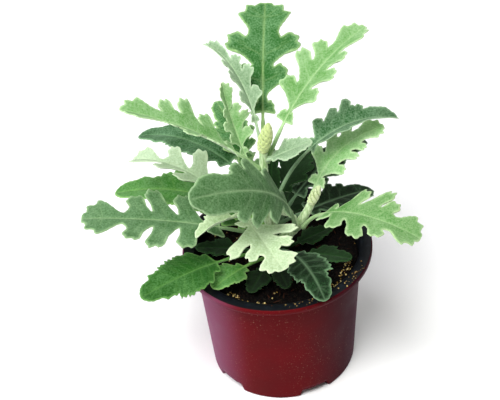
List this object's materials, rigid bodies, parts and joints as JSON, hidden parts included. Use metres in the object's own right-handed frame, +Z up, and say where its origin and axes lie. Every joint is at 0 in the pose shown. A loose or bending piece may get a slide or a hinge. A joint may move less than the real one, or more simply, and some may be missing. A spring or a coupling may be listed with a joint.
{
  "type": "potted dusty miller",
  "caption": "Bushy bedding plant with felted, deeply lobed grey-green leaves, growing in a round plastic nursery pot filled with soil.",
  "frame": {"origin": "centre of the pot's flat underside", "axes": "+Z up along the pot's axis; the side seen in the picture faces -Y; +X is to the right in the picture"},
  "size_m": [0.177, 0.1299, 0.1926],
  "materials": {
    "pot_plastic": "thin moulded maroon plastic with a dull sheen and some dust",
    "potting_soil": "dark crumbly peat with pale grains",
    "felted_stem": "pale green stem and buds with short white felt",
    "felted_leaf": "grey-green leaf with white felt, paler veins and underside"
  },
  "bodies": {
    "root": {"pot": "pot_plastic", "soil": "potting_soil", "stem": "felted_stem", "growing_tip_main": "felted_stem", "growing_tip_right": "felted_stem", "growing_tip_left": "felted_stem", "leaf_top": "felted_leaf", "leaf_upper_right": "felted_leaf", "leaf_upper_left": "felted_leaf", "leaf_left_upright": "felted_leaf", "leaf_left": "felted_leaf", "leaf_left_back": "felted_leaf", "leaf_left_pale": "felted_leaf", "leaf_left_bright": "felted_leaf", "leaf_left_long": "felted_leaf", "leaf_centre": "felted_leaf", "leaf_front_left": "felted_leaf", "leaf_front_left_small": "felted_leaf", "leaf_front_pale": "felted_leaf", "leaf_front_right": "felted_leaf", "leaf_right": "felted_leaf", "leaf_right_middle": "felted_leaf", "leaf_right_back": "felted_leaf", "leaf_centre_grey": "felted_leaf", "leaf_curled_right": "felted_leaf", "leaf_curled_left": "felted_leaf", "leaf_back_right_high": "felted_leaf", "leaf_back_right_low": "felted_leaf", "leaf_right_centre": "felted_leaf", "leaf_centre_narrow": "felted_leaf", "leaf_soil_left": "felted_leaf", "leaf_soil_front": "felted_leaf", "leaf_soil_front_right": "felted_leaf", "leaf_soil_right": "felted_leaf", "leaf_soil_right_long": "felted_leaf", "leaf_left_middle": "felted_leaf", "leaf_back_left": "felted_leaf", "leaf_back_low": "felted_leaf", "leaf_back_middle": "felted_leaf", "leaf_back_low_left": "felted_leaf", "leaf_back_low_right": "felted_leaf"}
  },
  "joints": []
}
